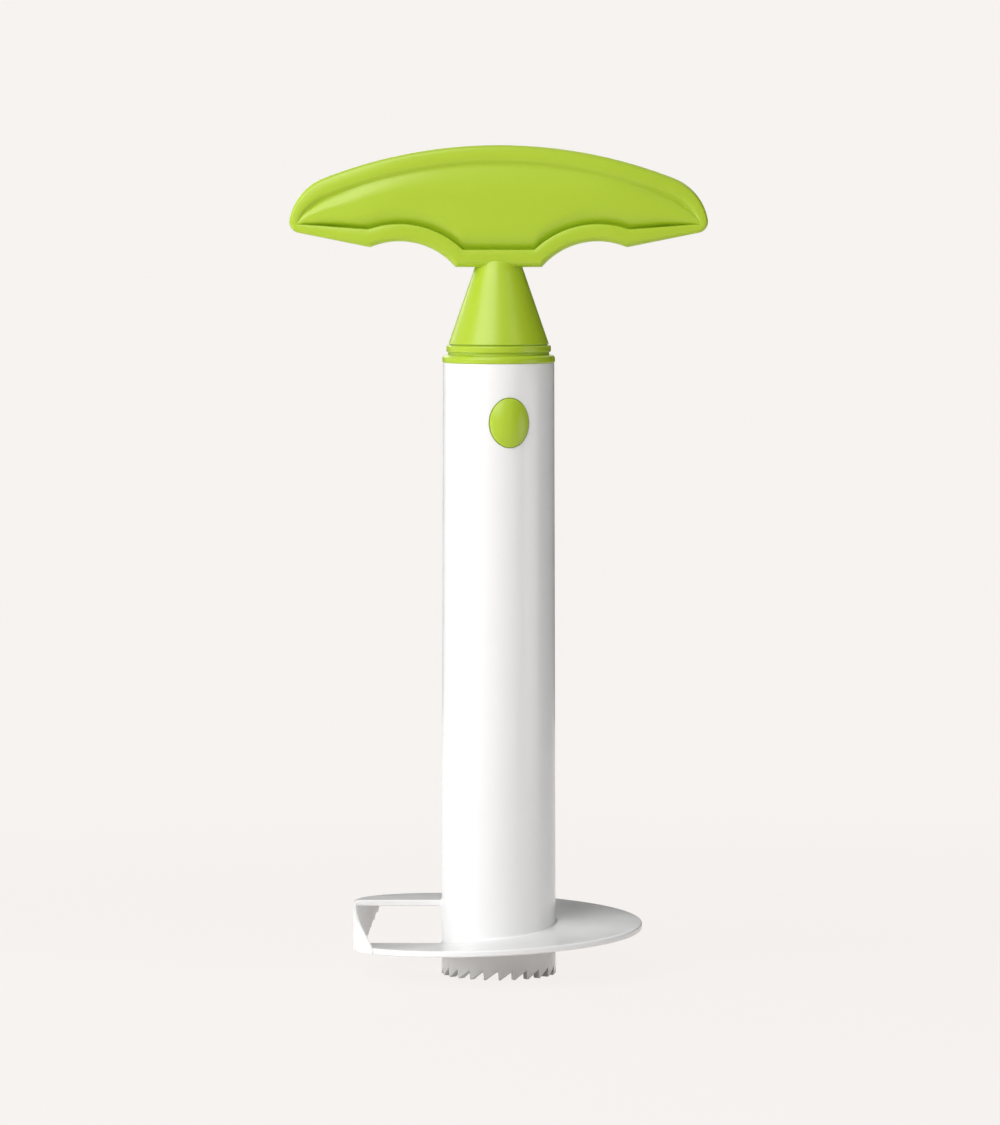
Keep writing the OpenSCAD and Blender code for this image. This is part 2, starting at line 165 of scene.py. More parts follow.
class CorerHandleSizes(PropertyGroup):
    neck_h: mm("Neck height", "From the shaft's rim to the grip", 28.1)
    neck_top_r: mm("Neck top radius", "At the grip", 7)
    neck_foot_r: mm("Neck foot radius", "Above the collar", 14.8)
    neck_wall: mm("Neck wall", "Around its hollow", 1.8)
    neck_cap: mm("Neck cap", "Solid height at the top", 6)
    neck_dome: mm("Neck dome", "Height of the rounded end on the grip", 2.6)
    ring_r: mm("Ring radius", "Of the lower ring", 16.6)
    ring_h: mm("Ring height", "Of the lower ring", 2.3)
    ring_round: mm("Ring rounding", "Of its upper edge", 1.2)
    ring_foot: mm("Ring foot", "Rounding of its lower edge", 0.4)
    gap_h: mm("Groove width", "Between the rings", 0.8)
    gap_deep: mm("Groove depth", "Between the rings", 0.5)
    bead_r: mm("Bead radius", "Of the upper ring", 15.4)
    bead_h: mm("Bead height", "Of the upper ring", 2)
    bead_round: mm("Bead rounding", "Of its edges", 0.4)
    fine_gap: mm("Fine groove", "Width and depth under the neck", 0.35)
    spigot_r: mm("Spigot radius", "In the shaft's socket", 14.75)
    spigot_wall: mm("Spigot wall", "Around its hollow", 1.6)
    spigot_length: mm("Spigot length", "From the shaft's rim down", 30)
    spigot_chamfer: mm("Spigot chamfer", "At its mouth", 0.6)


class CorerGripSizes(PropertyGroup):
    crown_r: mm("Crown radius", "Of the long arc on top", 141.5)
    shoulder_x: mm("Shoulder", "From the axis to its start", 51.5)
    shoulder_r: mm("Shoulder radius", "Of the turn down to the wing's tip", 16)
    tip_r: mm("Tip radius", "Of the wing's tip", 3.3)
    wing_slope: turn("Wing slope", "Of the wing's lower edge", 11.4)
    cusp_x: mm("Cusp", "From the axis to where groove and wing meet", 37.7)
    groove_r: mm("Groove radius", "Of the finger groove", 21.75)
    groove_x: mm("Groove place", "From the axis to its middle", 29.15)
    groove_h: mm("Groove height", "Depth above the flat underside", 7.55)
    middle_t: mm("Thickness", "Over the middle", 12.8)
    tip_t: mm("Tip thickness", "At the tips of the wings", 9)
    thin_from: mm("Thinning starts", "From the axis", 30)
    border_w: mm("Border width", "Around the panel", 5)
    border_crown: share("Border at the crown", "Share of that width", 0.86)
    border_taper: share("Border at the tips", "Share of that width", 0.48)
    edge_w: mm("Edge width", "Of the rounding on the border's outer edge", 1.8)
    edge_round: mm("Edge depth", "Of that rounding, through the thickness", 2.4)
    border_lip: mm("Border lip", "Drop of its inner edge under its crest", 0.2)
    point_r: mm("Point radius", "Of the inner edge in the corners at the tips", 0.3)
    panel_sink: mm("Panel sink", "Depth of its lowest part under the border", 2.3)
    slope_w: mm("Slope width", "From the upper border down to the panel", 1.4)
    panel_crest: share("Panel crest", "Where on the way down it is proudest", 0.32)
    dip: share("Dip", "Share of the sink above the crest", 0.38)
    wing_dip: share("Wing dip", "The same over the wings", 0.5)
    wings_from: mm("Wings start", "From the axis to where the dip deepens", 38)
    wings_full: mm("Wings full", "From the axis to where it is deepest", 48)
    roll_w: mm("Roll width", "Height over which the foot rolls in", 6)
    roll: share("Roll", "Share of the sink that the roll makes", 0.75)
    step_w: mm("Step width", "From the foot up to the lower border", 0.25)
    panel_full: mm("Full sink", "Height of panel from which it sinks fully", 8)


class CorerLatchSizes(PropertyGroup):
    turn: turn("Turn", "Of the buttons from the grip's front and back", 11.4)
    drop: mm("Drop", "From the shaft's rim to the buttons' middles", 17.2)
    width: mm("Width", "Of a button", 11.6)
    height: mm("Height", "Of a button", 14.4)
    proud: mm("Proud", "How far a button stands out of the shaft", 1.5)
    brim: mm("Brim", "How far its edge stands out", 0.35)
    clearance: mm("Clearance", "Around a button in its windows", 0.12)
    flange_r: mm("Flange radius", "Of its outer face", 13)
    flange_t: mm("Flange thickness", "From face to face", 1.5)
    flange_lip: mm("Flange lip", "How far it reaches past the button", 1.8)
    stud_r: mm("Stud radius", "Of the stud that centres the spring", 2.6)
    stud_length: mm("Stud length", "From the flange", 3)
    travel: mm("Travel", "How far a button goes in", 3.4)
    wire_d: mm("Wire", "Diameter of the spring's wire", 0.8)
    coil_r: mm("Coil radius", "Of the wire's centreline", 3.4)
    coil_half: mm("Coil half length", "From the middle to that line's end", 10.304)
    coil_turns: count("Coil turns", "Working turns of the spring", 6)


class CorerFinishes(PropertyGroup):
    white: colour("White", "ABS of the shaft and the blade", "#ECECEC")
    green: colour("Green", "Polypropylene of the handle and the buttons", "#A8C328")
    steel: colour("Steel", "Drawn spring steel", "#C4C5C8")
    backdrop: colour("Backdrop", "Floor and surroundings", "#F7F3F0")


class CorerStageSizes(PropertyGroup):
    camera_back: mm("Camera distance", "From the axis to the camera", 1830)
    camera_up: mm("Camera height", "Above the floor", 238)
    aim_up: mm("Aim height", "Height that the camera looks at", 122)
    aim_side: mm("Aim offset", "How far the view is moved to the side", 0.4)
    lens: FloatProperty(name="Lens", description="Focal length in millimetres", default=198.7)
    floor_r: mm("Floor radius", "Of the flat floor", 3200)
    floor_curve: mm("Floor curve", "Radius of the curve up from the floor", 1500)


# Surfaces


def lattice(rows, columns, ring=False, flip=False):
    """Quads of a grid of rows by columns points, seen from the side where a step along a row and
    then a step to the next row turn left. A ring joins the last column to the first."""
    start = np.arange(columns if ring else columns - 1)
    row = np.arange(rows - 1)[:, None] * columns
    a, b = (row + start).ravel(), (row + (start + 1) % columns).ravel()
    quads = np.stack([a, b, b + columns, a + columns], axis=1)
    return quads[:, ::-1] if flip else quads


def patch(x, y, z, ring=False, flip=False):
    """Points and quads of a surface given as x, y and z over a grid."""
    points = np.stack(np.broadcast_arrays(x, y, z), axis=-1)
    return points.reshape(-1, 3), lattice(*points.shape[:2], ring, flip)


def polar(r, a, z, **way):
    """Points and quads of a surface given as radius, angle and height: x = r cos a, y = r sin a."""
    return patch(r * np.cos(a), r * np.sin(a), z, **way)


def turned(r, z, angles, **way):
    """Surface of revolution: each point of the profile (r, z) is carried to every angle. A profile
    that runs against the clock has its faces outwards."""
    return polar(np.asarray(r)[:, None], angles, np.asarray(z)[:, None], **way)


def bend(r, z, radius, start, end, steps=6):
    """Points of an arc around (r, z) from one angle in degrees to the other."""
    a = np.radians(np.linspace(start, end, steps + 1))
    return np.stack([r + radius * np.cos(a), z + radius * np.sin(a)], axis=1)


def ease(t):
    """Smooth step: u squared times (3 - 2u), with u kept between 0 and 1."""
    u = np.clip(t, 0, 1)
    return u * u * (3 - 2 * u)


def shell(name, patches):
    """A closed mesh from patches whose edges meet: double points become one, and a quad that has
    shrunk to a pole becomes a triangle."""
    base = np.cumsum([0] + [len(points) for points, _ in patches[:-1]])
    points = np.concatenate([points for points, _ in patches])
    faces = np.concatenate([quads + shift for (_, quads), shift in zip(patches, base)])
    mesh = bpy.data.meshes.new(name)
    mesh.from_pydata(points.tolist(), [], faces.tolist())
    welded = bmesh.new()
    welded.from_mesh(mesh)
    bmesh.ops.remove_doubles(welded, verts=welded.verts, dist=WELD)
    welded.to_mesh(mesh)
    welded.free()
    shape = bpy.data.objects.new(name, mesh)
    bpy.context.scene.collection.objects.link(shape)
    return shape


def unite(shape, *others):
    """Joins closed shapes that pass into each other to one skin, and leaves nothing inside."""
    for other in others:
        union = shape.modifiers.new("Union", "BOOLEAN")
        union.operation, union.solver, union.object = "UNION", "MANIFOLD", other
    bpy.context.view_layer.update()
    graph = bpy.context.evaluated_depsgraph_get()
    joined = bpy.data.meshes.new_from_object(shape.evaluated_get(graph))
    shape.modifiers.clear()
    used = [piece.data for piece in (shape, *others)]
    shape.data = joined
    for other in others:
        bpy.data.objects.remove(other)
    for mesh in used:
        bpy.data.meshes.remove(mesh)
    joined.name = shape.name
    return shape


def dress(shape, material, body, slot, *nodes):
    """Shades a finished shape, gives it its material, and hands it to the frame."""
    shape.data.shade_smooth()
    shape.data.set_sharp_from_angle(angle=CRISP)
    shape.data.materials.clear()
    shape.data.materials.append(material)
    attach(shape, body)
    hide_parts(*nodes)
    return shape


# Walls with windows


def latch_place(s, latch):
    """Direction of the front button, and height of both buttons' middles."""
    return latch.turn - math.pi / 2, s.height - latch.drop


def wall_angles(s, latch):
    """Angles of a wall's columns all the way round, from the front button's middle."""
    columns = PER_TOOTH * s.teeth
    return latch_place(s, latch)[0] + 2 * math.pi / columns * np.arange(columns)


def window(direction, level, outer, inner, half_w, half_h, edge, across):
    """The wall around an oval window in a tube. Every ray from the window's middle to the edge of
    its block is one column: it comes in over the outer face to the oval, rounds its edge, goes
    through the wall, and runs out again over the inner face. The oval is
    (half_w cos p, half_h sin p) seen straight on, so on a tube of radius r it lies at the angle
    asin(half_w cos p / r)."""
    up = WINDOW_ROWS
    n, m = len(across) - 1, len(up) - 1
    block_a = np.concatenate([across[:-1], np.full(m, across[-1]), across[:0:-1],
                              np.full(m, across[0])])
    block_z = np.concatenate([np.full(n, up[0]), up[:-1], np.full(n, up[-1]), up[:0:-1]])
    p = np.arctan2(block_z / half_h, block_a * outer(level) / half_w)
    rows = []

    def add(grow, radius, spread=0):
        side, z = (half_w + grow) * np.cos(p), (half_h + grow) * np.sin(p)
        angle = (1 - spread) * np.arcsin(side / radius) + spread * block_a
        rows.append((radius, angle, (1 - spread) * z + spread * block_z))

    # Shares of the way from the oval out to the edge of the block
    spreads = (1, 0.8, 0.6, 0.4, 0.22, 0.08)
    round_off = np.radians(np.linspace(0, 90, 5))
    for spread in spreads:
        add(edge, outer(level), spread)
    for a in round_off:
        add(edge * (1 - np.sin(a)), outer(level) - edge * (1 - np.cos(a)))
    for a in round_off[::-1]:
        add(edge * (1 - np.sin(a)), inner + edge * (1 - np.cos(a)))
    for spread in spreads[::-1]:
        add(edge, inner, spread)
    radius, angle, z = (np.array(column) for column in zip(*rows))
    radius, angle = radius[:, None], direction + angle
    # The outer face keeps to the tube's slight taper
    radius = np.where(radius > inner + edge * 1.5, radius + outer(level + z) - outer(level), radius)
    return polar(radius, angle, level + z, ring=True)


def windowed(s, latch, outer, inner, edge):
    """A stretch of tube, as high as its two windows' blocks, with the windows in two opposite
    directions and plain strips of wall between them."""
    direction, level = latch_place(s, latch)
    half_w, half_h = latch.width / 2 + latch.clearance, latch.height / 2 + latch.clearance
    columns = PER_TOOTH * s.teeth
    step, half = 2 * math.pi / columns, columns // 10
    across = step * np.arange(-half, half + 1)
    plain = direction + step * np.arange(half, columns // 2 - half + 1)
    parts = []
    for side in (0, math.pi):
        parts.append(window(direction + side, level, outer, inner, half_w, half_h, edge, across))
        z = level + WINDOW_ROWS
        parts.append(turned(outer(z), z, plain + side))
        parts.append(turned(inner + 0 * z, z[::-1], plain + side))
    return parts


# Shaft


def shaft_tube(s, latch):
    """The tube with its crown of teeth, its two windows and its socket. Below the blade each
    column slides over to a corner of the saw profile, by the share w of the way down."""
    direction, level = latch_place(s, latch)
    angles = wall_angles(s, latch)
    pitch = 2 * math.pi / s.teeth
    step = pitch / PER_TOOTH
    low, high = level + WINDOW_ROWS[0], level + WINDOW_ROWS[-1]

    def outer(z):
        return s.foot_r + (s.top_r - s.foot_r) * z / s.height

    # Saw profile: flat tip, slope up to the root, and a nearly upright step down to the next tip
    lag = np.mod(direction, step)
    place = np.rint(np.mod(angles - lag, pitch) / step).astype(int) % PER_TOOTH
    tip = place == PER_TOOTH - 1
    tooth = np.floor((angles - lag) / pitch + 0.01) + tip
    flat, root = s.tooth_flat / s.foot_r, 0.973 * pitch
    slope = np.array([0, 0.25, 0.5, 0.75, 1.0, 0])[place]
    corner = tooth * pitch + np.where(tip, 0, flat + (root - flat) * slope)
    tooth_z = s.tooth_h * slope

    # Each row is radius, height, share w, and lift over the saw profile
    warp_top = 7 * MM
    warp = np.linspace(1, 0, 8)
    e = s.edge
    ledge = s.height - s.socket_depth
    rows = [(s.socket_r, low, 0, 0), (s.socket_r, ledge + s.socket_r - s.bore_r, 0, 0),
            (s.bore_r, ledge, 0, 0)]
    rows += [(s.bore_r, z, 0, 0) for z in np.linspace(ledge - 15 * MM, warp_top, 8)]
    rows += [(s.bore_r, warp_top, w, e) for w in warp[::-1][1:]]
    rows += [(s.bore_r + e, warp_top, 1, 0), (s.foot_r - e, warp_top, 1, 0)]
    rows += [(outer(warp_top * (1 - w)), warp_top, w, e) for w in warp]
    rows += [(outer(z), z, 0, 0) for z in np.linspace(warp_top, low, 12)[1:]]
    r, z, w, up = (np.array(column)[:, None] for column in zip(*rows))
    lower = polar(r, angles + w * (corner - angles), (1 - w) * z + w * (tooth_z + up), ring=True)

    top = s.height - e
    rim = np.concatenate([[[outer(high), high]], bend(s.top_r - e, top, e, 0, 90),
                          bend(s.socket_r + e, top, e, 90, 180), [[s.socket_r, high]]])
    upper = turned(rim[:, 0], rim[:, 1], angles, ring=True)
    return shell("shaft_tube", [lower, upper, *windowed(s, latch, outer, s.socket_r, e)])


def spiral_blade(s, b):
    """A flat section carried round and up: at radius r and angle a the two faces lie at
    top(a) - t/2 plus and minus h(r), where top rises evenly with the angle and h is half the
    thickness, more in the root's fillet and less at the rounded rim. Near the leading edge the
    lower face rises to the upper one, in proportion to the arc's length r (a - start)."""
    t, rim, fillet = b.thickness, b.rim, b.fillet
    wall = s.foot_r + (s.top_r - s.foot_r) * b.level / s.height
    root = np.radians(np.linspace(4, 90, 8))
    edge = np.radians(np.linspace(0, 90, 7))
    r = np.concatenate([[(s.bore_r + wall) / 2], wall + fillet - fillet * np.cos(root),
                        np.linspace(wall + fillet, b.radius - rim, 12)[1:-1],
                        b.radius - rim + rim * np.sin(edge), [b.radius]])
    h = np.concatenate([[t / 2 + fillet], t / 2 + fillet - fillet * np.sin(root),
                        np.full(10, t / 2), t / 2 - rim + rim * np.cos(edge), [0]])
    # The loop runs out along the lower face and back along the upper one
    r_all, h_all = np.append(r, r[-2::-1])[:, None], np.append(-h, h[-2::-1])[:, None]
    # Columns follow the bevel near the start, and are evenly turned past the blend
    blend, columns = math.radians(15), 264
    near = b.bevel / r_all * np.linspace(0, 1, 5)
    mid = b.bevel / r_all + (blend - b.bevel / r_all) * np.linspace(0, 1, 9)[1:]
    even = np.linspace(blend, 2 * math.pi - blend, columns + 1)[1:]
    far = np.broadcast_to(even, (len(r_all), columns))
    # Chamfer of the trailing end
    nip = 0.2 * MM
    tail = 2 * math.pi - np.concatenate([
        np.broadcast_to(np.array([[0.18, 0.1, 0.04]]), (len(r_all), 3)),
        nip / r_all, 0 * r_all], axis=1)
    angle = np.concatenate([near, mid, far, tail], axis=1)
    # At the leading edge the bevel takes off this much of half the thickness
    ground = 1.75
    thin = np.where(h_all < 0, ground * np.clip(1 - angle * r_all / b.bevel, 0, 1), 0)
    nipped = np.zeros(angle.shape[1])
    nipped[-1] = nip
    half = np.sign(h_all) * np.maximum(np.abs(h_all) - nipped, 0)
    z = b.level + b.pitch * angle / (2 * math.pi) - t / 2 + half * (1 - thin)
    grids, n = np.broadcast_arrays(r_all, b.start + angle, z), len(r)
    low, high = slice(0, n), slice(2 * n - 2, n - 2, -1)
    caps = [polar(*(np.stack([g[low, end], g[high, end]]) for g in grids), flip=flip)
            for end, flip in ((0, False), (-1, True))]
    # Closes the root inside the tube's wall
    inner = polar(*(np.stack([g[-1], g[0]]) for g in grids))
    return shell("spiral_blade", [polar(*grids), *caps, inner])


def outer_knife(b):
    """A band on the rim from the blade's start up to its end. At the share v of the way up, its
    toothed edge lies lead + step i + lean q behind the start, where i is the tooth and q the share
    of that tooth, and its smooth edge lies trail (1 - v to the power of bow) in front. The inner
    face runs out to the outer one towards the toothed edge, as a ground bevel does."""
    outer, t = b.radius + b.knife_proud, b.thickness
    n = b.knife_teeth
    tooth, q = np.divmod(np.arange(4 * n), 4)
    q = q / 3
    # Share of the height that the step from a tooth to the next takes
    notch = 0.04 / n
    v = (tooth + q) / n - np.where((q == 1) & (tooth < n - 1), notch, 0)
    lead = b.knife_lead + b.knife_step * tooth + b.knife_lean * q
    # Rounded lower and upper edges, as [share, lead, lift, outer edge moved in, inner moved out]
    soft, big = 0.3 * MM, b.knife_round
    low, high = np.radians(np.linspace(90, 0, 4)), np.radians(np.linspace(0, 90, 7))
    v = np.concatenate([np.full(4, v[0]), v, np.full(7, v[-1])])
    lead = np.concatenate([np.full(4, lead[0]), lead, np.full(7, lead[-1])])
    lift = np.concatenate([-t / 2 + soft - soft * np.sin(low), np.zeros(4 * n),
                           t / 2 - big + big * np.sin(high)])
    pull = np.concatenate([soft - soft * np.cos(low), np.zeros(4 * n), big - big * np.cos(high)])
    push = np.concatenate([soft - soft * np.cos(low), np.zeros(4 * n), np.zeros(7)])
    v, lead, lift, pull, push = (g[:, None] for g in (v, lead, lift, pull, push))
    trail = b.knife_trail * (1 - v ** b.knife_bow)
    # The bevel starts this far in front of the teeth, and leaves this much at the edge
    bevel, thinnest = math.radians(3.4), 0.28 * MM
    ground = b.knife_lead + b.knife_step * n * v - bevel
    over = np.linspace(0, 1, 14)[None]
    back_zone = np.array([[0, 0.35, 0.7]])
    turn_to = np.concatenate([-lead + (lead - ground) * back_zone,
                              -ground + (trail + ground) * over], axis=1)
    bare = np.concatenate([np.array([[0.75, 0.49, 0.22]]), np.zeros((1, 13)),
                           np.array([[0.35]])], axis=1) * b.knife_wall
    away = np.append(np.zeros(16), soft)
    out = outer - pull - away
    ins = np.minimum(outer - b.knife_wall + bare + push, outer - thinnest)
    loop_r = np.concatenate([out + 0 * turn_to, (ins + 0 * turn_to)[:, ::-1]], axis=1)
    loop_a = b.start + np.concatenate([turn_to, turn_to[:, ::-1]], axis=1)
    z = b.level + b.pitch * ((loop_a - b.start) / (2 * math.pi) + v) - t / 2 + lift
    grids, k = (loop_r, loop_a, z), turn_to.shape[1]
    ends = [polar(*(np.stack([g[row, :k], g[row, :k - 1:-1]]) for g in grids), flip=flip)
            for row, flip in ((0, True), (-1, False))]
    return shell("outer_knife", [polar(*grids, ring=True), *ends])


class CORER_OT_shaft(Operator):
    """Makes the white shaft: tube, crown of teeth, spiral blade and outer knife"""

    bl_idname = "corer.make_shaft"
    bl_label = "Make shaft"

    def execute(self, context):
        s, b = context.scene.corer_shaft, context.scene.corer_blade
        tube = shaft_tube(s, context.scene.corer_latch)
        shape = unite(tube, spiral_blade(s, b), outer_knife(b))
        shape.name = "white_shaft"
        dress(shape, white_abs(context.scene.corer_finishes), "shaft", "white_plastic", "shaft")
        return {"FINISHED"}


# Handle


def neck_profile(h, s, latch):
    """Profile of neck, collar and spigot as three runs of (r, z): down the hollow to the windows,
    round the spigot's mouth, and from the windows up over the collar and the neck. The neck ends
    in the grip as a dome, (r / radius) to the power of 4 + (z / height) to the power of 4 = 1."""
    top = s.height
    low, high = latch_place(s, latch)[1] + WINDOW_ROWS[[0, -1]]
    bore = h.spigot_r - h.spigot_wall
    cone_z = h.ring_h + h.gap_h + h.bead_h + h.fine_gap
    rate = (h.neck_foot_r - h.neck_top_r) / (h.neck_h - cone_z)

    def cone(z):
        return h.neck_top_r + rate * (h.neck_h - z)

    ceiling = h.neck_h - h.neck_cap
    hollow = np.array([[0, top + ceiling], [cone(ceiling) - h.neck_wall, top + ceiling],
                       [cone(cone_z) - h.neck_wall, top + cone_z], [bore, top], [bore, high]])
    foot, c, inside_c = top - h.spigot_length, h.spigot_chamfer, 0.2 * MM
    mouth = np.array([[bore, low], [bore, foot + inside_c], [bore + inside_c, foot],
                      [h.spigot_r - c, foot], [h.spigot_r, foot + c], [h.spigot_r, low]])
    gap_top = h.ring_h + h.gap_h
    bead_top = gap_top + h.bead_h
    # Roundings in the groove and at the neck's foot
    soft, brink = 0.12 * MM, 0.15 * MM
    groove_r = h.bead_r - h.gap_deep
    fine_r = h.neck_foot_r - h.fine_gap
    collar = np.concatenate([
        [[h.spigot_r, high], [h.spigot_r, top]],
        bend(h.ring_r - h.ring_foot, top + h.ring_foot, h.ring_foot, -90, 0),
        bend(h.ring_r - h.ring_round, top + h.ring_h - h.ring_round, h.ring_round, 0, 90, 10),
        bend(groove_r + soft, top + h.ring_h + soft, soft, 270, 180, 2),
        bend(groove_r + soft, top + gap_top - soft, soft, 180, 90, 2),
        bend(h.bead_r - h.bead_round, top + gap_top + h.bead_round, h.bead_round, -90, 0),
        bend(h.bead_r - h.bead_round, top + bead_top - h.bead_round, h.bead_round, 0, 90),
        [[fine_r, top + bead_top], [fine_r, top + cone_z]],
        bend(h.neck_foot_r - brink, top + cone_z + brink, brink, -90, 0, 3)])
    up = np.linspace(cone_z + 0.2 * MM, h.neck_h, 14)
    neck = np.stack([cone(up), top + up], axis=1)
    a = np.radians(np.linspace(0, 90, 12))[1:]
    dome = np.stack([h.neck_top_r * np.sqrt(np.maximum(np.cos(a), 0)),
                     top + h.neck_h + h.neck_dome * np.sqrt(np.sin(a))], axis=1)
    dome[-1, 0] = 0
    return hollow, mouth, np.concatenate([collar, neck, dome])


def neck(h, s, latch):
    """The turned part of the handle, with the latch's windows in its spigot."""
    runs = [turned(run[:, 0], run[:, 1], wall_angles(s, latch), ring=True)
            for run in neck_profile(h, s, latch)]
    walls = windowed(s, latch, lambda z: h.spigot_r + 0 * z, h.spigot_r - h.spigot_wall, 0.15 * MM)
    return shell("neck", [*runs, *walls])


class GripOutline:
    """The grip's outline in the XZ plane and every outline moved in from it. One half runs from
    the crown's middle over the shoulder and round the tip, then back along the wing's lower edge,
    over the finger groove to the flat underside."""

    steps = (56, 22, 8, 8, 26, 38, 14)

    def __init__(self, g, floor, crown):
        cos, sin, hypot = math.cos, math.sin, math.sqrt
        self.g, self.floor = g, floor
        self.groove_z = floor + g.groove_h - g.groove_r
        self.cusp = (g.cusp_x, self.groove_z
                     + hypot(g.groove_r ** 2 - (g.cusp_x - g.groove_x) ** 2))
        self.crown_z = crown - g.crown_r
        self.along = (cos(g.wing_slope), sin(g.wing_slope))
        self.upward = (-sin(g.wing_slope), cos(g.wing_slope))
        self.crown_end = math.acos(g.shoulder_x / g.crown_r)
        reach = g.crown_r - g.shoulder_r
        self.shoulder = (reach * cos(self.crown_end), self.crown_z + reach * sin(self.crown_end))
        self.tip_end = g.wing_slope - math.pi / 2

    def lift(self, p):
        """How far a point lies along the normal of the wing's lower edge."""
        return p[0] * self.upward[0] + p[1] * self.upward[1]

    def tip(self, w, r):
        """Middle of an arc of radius r that joins the shoulder to the wing's lower edge, when
        both are moved in by w, and the angle at which it leaves the shoulder."""
        up = self.lift(self.shoulder) - self.lift(self.cusp) - w - r
        out = np.sqrt((self.g.shoulder_r - w - r) ** 2 - up ** 2)
        x, z = (-up * u + out * v for u, v in zip(self.upward, self.along))
        return (self.shoulder[0] + x, self.shoulder[1] + z), np.arctan2(z, x)

    def half(self, d):
        """Half an outline moved in by d, as arrays of x, z and the border's share of its full
        width, which goes from the crown's down to the taper over the shoulder and evenly up to 1
        along the wing. The tip's arc shrinks with the square of d to a point."""
        g, thin = self.g, self.g.border_taper
        crown_n, shoulder_n, tip_a, tip_b, wing_n, groove_n, flat_n = self.steps
        d = d[:, None]
        pinch = (d / g.border_w) ** 2
        tip_r = (g.tip_r - d * thin) * (1 - pinch) + g.point_r * pinch
        tip, tip_start = self.tip(d * thin, tip_r)

        def arc(centre, radius, a0, a1, n):
            a = a0 + (a1 - a0) * np.arange(n) / n
            return centre[0] + radius * np.cos(a), centre[1] + radius * np.sin(a)

        r = g.groove_r + d
        off = self.lift((g.groove_x, self.groove_z)) - self.lift(self.cusp) - d
        run = np.sqrt(r ** 2 - off ** 2)
        cusp = [c - off * u + run * v for c, u, v in
                zip((g.groove_x, self.groove_z), self.upward, self.along)]
        up = self.floor + d - self.groove_z
        corner = (g.groove_x - np.sqrt(r ** 2 - up ** 2), self.floor + d)
        f = g.border_crown
        x, z = arc((0, self.crown_z), g.crown_r - d * f, math.pi / 2, self.crown_end, crown_n)
        parts = [(x, z, f + 0 * x)]
        f = f - (f - thin) * ease(np.arange(shoulder_n) / shoulder_n)
        x, z = arc(self.shoulder, g.shoulder_r - d * f, self.crown_end, tip_start, shoulder_n)
        parts.append((x, z, f + 0 * x))
        for a0, a1, n in ((tip_start, 0, tip_a), (0, self.tip_end, tip_b)):
            x, z = arc(tip, tip_r, a0, a1, n)
            parts.append((x, z, thin + 0 * x))
        start = [c + tip_r * w for c, w in
                 zip(tip, (math.cos(self.tip_end), math.sin(self.tip_end)))]
        t = np.arange(wing_n) / wing_n
        x, z = (a + (c - a) * t for a, c in zip(start, cusp))
        parts.append((x, z, thin + (1 - thin) * t + 0 * x))
        cusp_a = np.arctan2(cusp[1] - self.groove_z, cusp[0] - g.groove_x)
        corner_a = np.arctan2(corner[1] - self.groove_z, corner[0] - g.groove_x)
        x, z = arc((g.groove_x, self.groove_z), r, cusp_a, corner_a, groove_n)
        parts.append((x, z, 1 + 0 * x))
        t = np.arange(flat_n + 1) / flat_n
        x = corner[0] * (1 - t)
        parts.append((x, corner[1] + 0 * x, 1 + 0 * x))
        return [np.concatenate(grids, axis=1) for grids in zip(*parts)]

    def whole(self, d):
        """The outline moved in by d, closed by its mirror image."""
        x, z, f = self.half(np.asarray(d, float))
        return [np.concatenate([a, sign * a[:, -2:0:-1]], axis=1)
                for a, sign in ((x, -1), (z, 1), (f, 1))]

    def half_thickness(self, x):
        """Half the thickness: full over the middle, easing down to the tips."""
        g = self.g
        reach = g.shoulder_x - g.thin_from + g.shoulder_r
        drop = ease((np.abs(x) - g.thin_from) / reach)
        return g.tip_t / 2 + (g.middle_t - g.tip_t) / 2 * (1 - drop)


